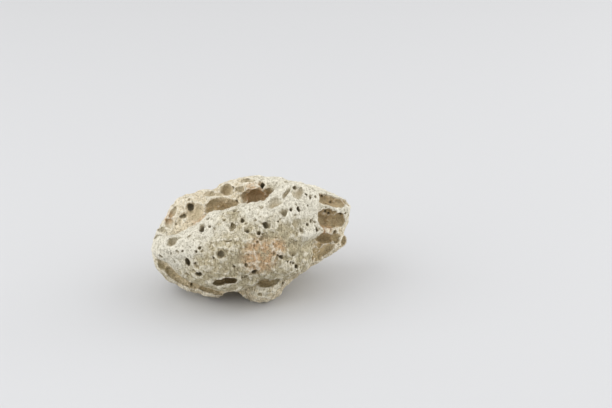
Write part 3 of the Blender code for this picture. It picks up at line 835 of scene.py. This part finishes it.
class Nodes:
    """A material's node tree with short ways to add what it needs."""

    def __init__(self, name):
        self.material = bpy.data.materials.new(name)
        self.material.use_nodes = True
        self.tree = self.material.node_tree
        self.shader = self.tree.nodes["Principled BSDF"]
        self.count = 0

    def fill(self, node, inputs):
        """Links or sets a node's inputs, given by name or number as sockets or values."""
        for key, value in inputs.items():
            if isinstance(value, bpy.types.NodeSocket):
                self.tree.links.new(value, node.inputs[key])
            else:
                node.inputs[key].default_value = value

    def add(self, kind, inputs, **settings):
        """A node with its inputs and its settings."""
        node = self.tree.nodes.new(kind)
        row, column = divmod(self.count, NODES_PER_ROW)
        node.location = (-NODE_STEP * (column + 1), NODE_STEP * row)
        self.count += 1
        for key, value in settings.items():
            setattr(node, key, value)
        self.fill(node, inputs)
        return node

    def scaled(self, place, scale):
        """A place stretched along X, Y and Z."""
        return self.add("ShaderNodeMapping", {"Vector": place, "Scale": scale}).outputs[0]

    def noise(self, place, scale, detail, rough):
        """Noise from 0 to 1 at so many waves per unit of the place."""
        inputs = {"Vector": place, "Scale": scale, "Detail": detail, "Roughness": rough}
        return self.add("ShaderNodeTexNoise", inputs).outputs["Fac"]

    def ramp(self, value, low, high, to_low=0.0, to_high=1.0):
        """A value eased from one range to another."""
        inputs = {"Value": value, "From Min": low, "From Max": high, "To Min": to_low, "To Max": to_high}
        return self.add("ShaderNodeMapRange", inputs, interpolation_type="SMOOTHSTEP").outputs["Result"]

    def maths(self, operation, result, *values):
        """One operation over numbers in turn."""
        for value in values:
            result = self.add("ShaderNodeMath", {0: result, 1: value}, operation=operation).outputs[0]
        return result

    def product(self, *values):
        """Numbers multiplied."""
        return self.maths("MULTIPLY", *values)

    def total(self, *values):
        """Numbers added up."""
        return self.maths("ADD", *values)

    def vector_maths(self, operation, first, second):
        """The node for an operation on two vectors."""
        return self.add("ShaderNodeVectorMath", {0: first, 1: second}, operation=operation)

    def mix(self, share, first, second, blend="MIX"):
        """One colour over another, by the sockets that a mix node has for colours."""
        inputs = {0: share, 6: first, 7: second}
        return self.add("ShaderNodeMix", inputs, data_type="RGBA", blend_type=blend).outputs[2]

    def attribute(self, name):
        """A number kept on the mesh."""
        return self.add("ShaderNodeAttribute", {}, attribute_name=name).outputs["Fac"]


class StoneNodes(Nodes):
    """The stone's node tree, with the places, measures and noises that its parts share."""

    def __init__(self):
        super().__init__("pumice")
        local = self.add("ShaderNodeTexCoord", {}).outputs["Object"]
        self.place = self.scaled(local, PER_MM)
        self.x, _, self.z = self.add("ShaderNodeSeparateXYZ", {"Vector": self.place}).outputs
        self.hollow = self.attribute("hollow_mm")
        self.pit = self.attribute("pit_mm")
        self.ridge = self.attribute("ridge_mm")
        self.patchy = self.noise(self.place, *PATCHY_NOISE)
        self.fine = self.noise(self.place, *FINE_NOISE)
        self.fibres = self.noise(self.scaled(local, FIBRE_STRETCH), *FIBRE_NOISE)
        wander = self.ramp(self.noise(self.place, *BROAD_NOISE), *HEIGHT_WANDER)
        ends = [self.ramp(self.x, *rise) for rise in (LEFT_END_RISE, RIGHT_END_RISE)]
        # Painted light: the skin pales towards the top and the ends.
        self.painted_light = self.ramp(self.total(self.z, wander, *ends), *PAINTED_LIGHT)
        depth = self.product(self.hollow, self.ramp(self.x, *WALL_RIGHT_END))
        # Partly painted shade: the wall colour's cover grows with depth into the hollows.
        self.inside = self.ramp(depth, *WALL_DEPTH)


def skin_colour(nodes, colours):
    """Dull and warm patches low down, paler towards the top and the ends as painted light, and tan behind
    the front lobe as painted warm shade.
    """
    patches = nodes.ramp(nodes.patchy, *DULL_PATCHES)
    low_skin = nodes.mix(patches, colours.skin_warm, colours.skin_dull_and_shade)
    skin = nodes.mix(nodes.painted_light, low_skin, colours.skin)
    from_middle = nodes.vector_maths("SUBTRACT", nodes.place, FACE_CENTRE / MM).outputs[0]
    outward = nodes.vector_maths("DOT_PRODUCT", from_middle, face_axes(*FRONT)[2]).outputs["Value"]
    outward = nodes.total(outward, nodes.ramp(nodes.patchy, *BEHIND_LOBE_WANDER))
    left_or_low = nodes.maths("MAXIMUM", nodes.ramp(nodes.x, *LEFT_HALF), nodes.ramp(nodes.z, *LOWER_HALF))
    behind = nodes.ramp(outward, *BEHIND_LOBE)
    left_tip = nodes.ramp(nodes.x, *LEFT_TIP)
    # Painted warm shade: tan behind the front lobe.
    return nodes.mix(nodes.product(behind, left_or_low, left_tip, TAN_SHARE), skin, colours.skin_tan_shade)


def wall_colour(nodes, colours):
    """Tan bubble walls that turn brown in patches, near the top and at the right end, and deep down as
    painted shade.
    """
    brown = nodes.total(
        nodes.ramp(nodes.patchy, *BROWN_PATCHES),
        nodes.ramp(nodes.z, *BROWN_TOP),
        nodes.ramp(nodes.x, *BROWN_RIGHT_END),
        # Painted shade: walls turn browner with depth.
        nodes.ramp(nodes.hollow, *BROWN_DEPTH_SHADE),
    )
    brown = nodes.product(brown, nodes.ramp(nodes.x, *BROWN_LEFT_END))
    return nodes.mix(brown, colours.wall, colours.wall_brown_and_shade)


def stain_share(nodes):
    """Where the iron stains lie, broken up by blotches."""
    spots = []
    for across, up, out, reach in STAINS:
        middle = face_place(across, up, out) / MM
        away = nodes.vector_maths("DISTANCE", nodes.place, middle).outputs["Value"]
        spots.append(nodes.ramp(away, reach, reach * STAIN_CORE))
    blotches = nodes.ramp(nodes.noise(nodes.place, *STAIN_NOISE), *STAIN_BLOTCHES)
    return nodes.product(nodes.maths("MAXIMUM", *spots), blotches, STAIN_SHARE)


def pore_mask(nodes, cells, smallest, largest):
    """Round pores, one to a cell, of uneven size: 1 inside a pore."""
    cell = nodes.add("ShaderNodeTexVoronoi", {"Vector": nodes.place, "Scale": cells}, feature="F1")
    pick = nodes.add("ShaderNodeSeparateColor", {"Color": cell.outputs["Color"]}).outputs[0]
    edge = nodes.ramp(pick, 0.0, 1.0, smallest, largest)
    inside = nodes.maths("SUBTRACT", edge, cell.outputs["Distance"])
    return nodes.ramp(inside, *PORE_EDGE)


def all_pores(nodes):
    """Wide and small pores together, fewer in the walls of bubbles."""
    wide_pores = nodes.product(pore_mask(nodes, *WIDE_PORES), WIDE_PORE_SHARE)
    pores = nodes.maths("MAXIMUM", wide_pores, pore_mask(nodes, *SMALL_PORES))
    return nodes.product(pores, nodes.ramp(nodes.hollow, *PORES_IN_HOLLOWS))


def shade_relief(nodes, colours, base, pores):
    """Paints shade into pores, pits and dips, and paints light on ridges."""
    pore_shade_share = nodes.product(pores, nodes.ramp(nodes.painted_light, *PORES_IN_PAINTED_LIGHT))
    # Painted shade: pores too fine for the mesh are darkened.
    base = nodes.mix(pore_shade_share, base, colours.pore)
    # Painted shade: pits darken with depth and turn near black at the bottom.
    base = nodes.mix(nodes.ramp(nodes.pit, *PIT_SHADE), base, colours.pore)
    base = nodes.mix(nodes.ramp(nodes.pit, *PIT_BOTTOM_SHADE), base, colours.pit)
    # Painted light pales the ridges, and painted shade dulls the dips.
    base = nodes.mix(nodes.ramp(nodes.ridge, *RIDGE_PAINTED_LIGHT), base, colours.ridge)
    return nodes.mix(nodes.ramp(nodes.ridge, *DIP_PAINTED_SHADE), base, colours.skin_dull_and_shade)


def add_grain(nodes, base):
    """Upright fibres over the skin, finer grain in the walls of bubbles."""
    finer = nodes.maths("SUBTRACT", nodes.fine, nodes.fibres)
    streaky = nodes.total(nodes.fibres, nodes.product(finer, nodes.ramp(nodes.inside, *GRAIN_FINE_IN_BOWL)))
    grain = nodes.mix(nodes.ramp(streaky, *GRAIN), GRAIN_DARK, GRAIN_LIGHT)
    in_painted_light = nodes.ramp(nodes.painted_light, *GRAIN_IN_PAINTED_LIGHT)
    in_bowl = nodes.ramp(nodes.inside, *GRAIN_IN_BOWL)
    return nodes.mix(nodes.product(in_painted_light, in_bowl), base, grain, "MULTIPLY")


def bumpy_normal(nodes, pores):
    """Relief too fine for the mesh: pores, grain and fibres."""
    relief = nodes.total(
        nodes.product(pores, PORE_RELIEF),
        nodes.product(nodes.fine, FINE_RELIEF),
        nodes.product(nodes.fibres, FIBRE_RELIEF),
    )
    inputs = {"Height": relief, "Strength": BUMP_STRENGTH, "Distance": BUMP_HEIGHT}
    return nodes.add("ShaderNodeBump", inputs).outputs["Normal"]


def pumice_material(colours):
    """Porous cream skin paled towards the top as painted light, tan bubble walls that deepen with painted
    shade, pores and pits darkened as painted shade, ridges paled as painted light, and iron stains.
    """
    nodes = StoneNodes()
    wall_share = nodes.product(nodes.inside, nodes.ramp(nodes.x, *WALL_LEFT_END))
    base = nodes.mix(wall_share, skin_colour(nodes, colours), wall_colour(nodes, colours))
    base = nodes.mix(stain_share(nodes), base, colours.stain)
    pores = all_pores(nodes)
    base = shade_relief(nodes, colours, base, pores)
    nodes.fill(nodes.shader, {
        "Base Color": add_grain(nodes, base),
        "Normal": bumpy_normal(nodes, pores),
        "Roughness": STONE_ROUGHNESS,
        "Specular IOR Level": STONE_SPECULAR,
    })
    return nodes.material


def floor_material(colours):
    """Plain matt paper."""
    nodes = Nodes("studio_floor")
    nodes.fill(nodes.shader, {
        "Base Color": colours.floor,
        "Roughness": FLOOR_ROUGHNESS,
        "Specular IOR Level": FLOOR_SPECULAR,
    })
    return nodes.material


# ---- Stage ----
# The camera's frame: its width and a pixel's size at the stone, and how many pixels the middle of
# the stone lies right of and below the frame's middle.
FRAME_WIDTH_PX = 612
MM_PER_PX = 0.41
STONE_RIGHT_PX = -54.8
STONE_DOWN_PX = 34.2
LENS_MM = 70.0
SENSOR_MM = 36.0
FLOOR_SIDE = 6.0
# Each light: name, place, side in metres, power in watts and colour. All are aimed at the stone.
LIGHTS = (
    ("key_light", (-0.78, -0.20, 0.66), 1.10, 5.6, (0.97, 0.985, 1.0)),
    ("side_light", (0.80, -0.05, 0.52), 1.00, 3.2, (0.97, 0.985, 1.0)),
    ("fill_light", (0.80, 0.30, 0.16), 0.50, 1.2, (1.0, 0.99, 0.97)),
)
ROOM_COLOUR = (1.0, 0.985, 0.97, 1.0)
ROOM_STRENGTH = 0.84


def aim(thing, place, target):
    """Puts a camera or light in its place and turns it to a point."""
    thing.location = place
    thing.rotation_mode = "QUATERNION"
    thing.rotation_quaternion = (target - thing.location).to_track_quat("-Z", "Y")


def add_camera():
    """A camera on the line square to the outlines' plane, turned to place the stone in the frame."""
    data = bpy.data.cameras.new("camera")
    data.lens = LENS_MM
    data.sensor_width = SENSOR_MM
    camera = link_object("camera", data)
    across, up, outward = face_axes(*FRONT)
    distance = LENS_MM / SENSOR_MM * FRAME_WIDTH_PX * MM_PER_PX * MM
    target = FACE_CENTRE - across * STONE_RIGHT_PX * MM_PER_PX * MM + up * STONE_DOWN_PX * MM_PER_PX * MM
    aim(camera, FACE_CENTRE + outward * distance, target)
    bpy.context.scene.camera = camera


def add_area_light(name, place, side, power, colour):
    """A square soft light aimed at the stone."""
    data = bpy.data.lights.new(name, "AREA")
    data.size = side
    data.energy = power
    data.color = colour
    aim(link_object(name, data), place, FACE_CENTRE)


def light_room(scene):
    """An evenly bright room all round."""
    world = bpy.data.worlds.new("studio")
    world.use_nodes = True
    background = world.node_tree.nodes["Background"]
    background.inputs["Color"].default_value = ROOM_COLOUR
    background.inputs["Strength"].default_value = ROOM_STRENGTH
    scene.world = world


def build_floor(bm):
    """A flat square floor."""
    bmesh.ops.create_grid(bm, x_segments=1, y_segments=1, size=FLOOR_SIDE / 2)


# ---- Settings, operators and panel ----
def colour_property(name, description, default):
    """A colour that a user can change."""
    return bpy.props.FloatVectorProperty(
        name=name, description=description, subtype="COLOR", size=4, default=(*default, 1.0))


class PumiceSizes(bpy.types.PropertyGroup):
    """Sizes of the stone's fine structure."""

    voxel: bpy.props.FloatProperty(
        name="Surface step", description="Side of the grid that the carved surface is redrawn on",
        default=0.25 * MM, min=0.15 * MM, unit="LENGTH", precision=5)
    triangles: bpy.props.IntProperty(
        name="Triangles", description="Triangles left after thinning", default=192000, min=10000)
    pit_count: bpy.props.IntProperty(
        name="Strewn pits", description="Pits strewn over the whole stone, their funnels counted too",
        default=2000, min=0)
    lump_height: bpy.props.FloatProperty(
        name="Lump height", description="Height of the small lumps on the outer skin",
        default=0.7 * MM, unit="LENGTH", precision=5)


class PumiceColours(bpy.types.PropertyGroup):
    """Colours of the stone and of the floor."""

    # Painted light: this pale skin shows towards the top and the ends, where light falls most.
    skin: colour_property("Skin", "Bleached skin of the top and the left end", (0.73, 0.70, 0.595))
    skin_warm: colour_property("Warm skin", "Warmer patches of the low skin", (0.555, 0.49, 0.335))
    # Also painted shade: this olive dulls the dips between ridges, besides its random patches low down.
    skin_dull_and_shade: colour_property("Dull skin", "Olive patches of the low skin", (0.39, 0.345, 0.23))
    # Painted warm shade behind the crest of the front lobe.
    skin_tan_shade: colour_property("Tan skin", "Skin behind the crest of the front lobe", (0.73, 0.635, 0.465))
    wall: colour_property("Bubble wall", "Tan of the walls of open bubbles", (0.60, 0.475, 0.27))
    # Painted shade: the deep walls turn this brown.
    wall_brown_and_shade: colour_property("Brown bubble wall", "Brown of the top and deep walls", (0.43, 0.32, 0.18))
    # Painted shade: pores and the sides of pits are darkened with this olive brown.
    pore: colour_property("Pore", "Olive brown inside of the pores", (0.24, 0.185, 0.10))
    # Painted shade: the deepest bottoms of pits.
    pit: colour_property("Pit", "Dark bottom of the deep pits", (0.045, 0.032, 0.016))
    # Painted light: ridges that stand proud of the skin are paled with this colour.
    ridge: colour_property("Ridge", "Pale glassy edges of the walls", (0.87, 0.835, 0.72))
    stain: colour_property("Iron stain", "Orange-pink stain", (0.54, 0.36, 0.205))
    floor: colour_property("Floor", "Colour of the floor", (0.625, 0.633, 0.648))


class PUMICE_OT_stone(bpy.types.Operator):
    """Grow the pumice stone in place of its plain solid"""

    bl_idname = "pumice.stone"
    bl_label = "Grow Stone"

    def execute(self, context):
        stone = grow_stone(context.scene.pumice_sizes)
        stone.data.materials.clear()
        stone.data.materials.append(pumice_material(context.scene.pumice_colours))
        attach(stone, "root")
        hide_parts("pumice_stone")
        return {"FINISHED"}


class PUMICE_OT_stage(bpy.types.Operator):
    """Add the floor, the lights, the room and the camera"""

    bl_idname = "pumice.stage"
    bl_label = "Set Stage"

    def execute(self, context):
        floor = new_mesh_object("studio_floor", build_floor)
        floor.data.materials.append(floor_material(context.scene.pumice_colours))
        for light in LIGHTS:
            add_area_light(*light)
        light_room(context.scene)
        context.scene.view_settings.view_transform = "Standard"
        add_camera()
        return {"FINISHED"}


class PUMICE_PT_panel(bpy.types.Panel):
    """The stone's sizes, colours and steps"""

    bl_label = "Pumice Stone"
    bl_idname = "PUMICE_PT_panel"
    bl_space_type = "VIEW_3D"
    bl_region_type = "UI"
    bl_category = "Pumice"

    def draw(self, context):
        column = self.layout.column()
        for group in (context.scene.pumice_sizes, context.scene.pumice_colours):
            for name in group.__annotations__:
                column.prop(group, name)
        column.operator(PUMICE_OT_stone.bl_idname)
        column.operator(PUMICE_OT_stage.bl_idname)


CLASSES = (PumiceSizes, PumiceColours, PUMICE_OT_stone, PUMICE_OT_stage, PUMICE_PT_panel)


def register():
    for item in CLASSES:
        bpy.utils.register_class(item)
    bpy.types.Scene.pumice_sizes = bpy.props.PointerProperty(type=PumiceSizes)
    bpy.types.Scene.pumice_colours = bpy.props.PointerProperty(type=PumiceColours)


def unregister():
    del bpy.types.Scene.pumice_colours
    del bpy.types.Scene.pumice_sizes
    for item in reversed(CLASSES):
        bpy.utils.unregister_class(item)


def main():
    register()
    bpy.ops.pumice.stone()
    bpy.ops.pumice.stage()


if __name__ == "__main__":
    main()
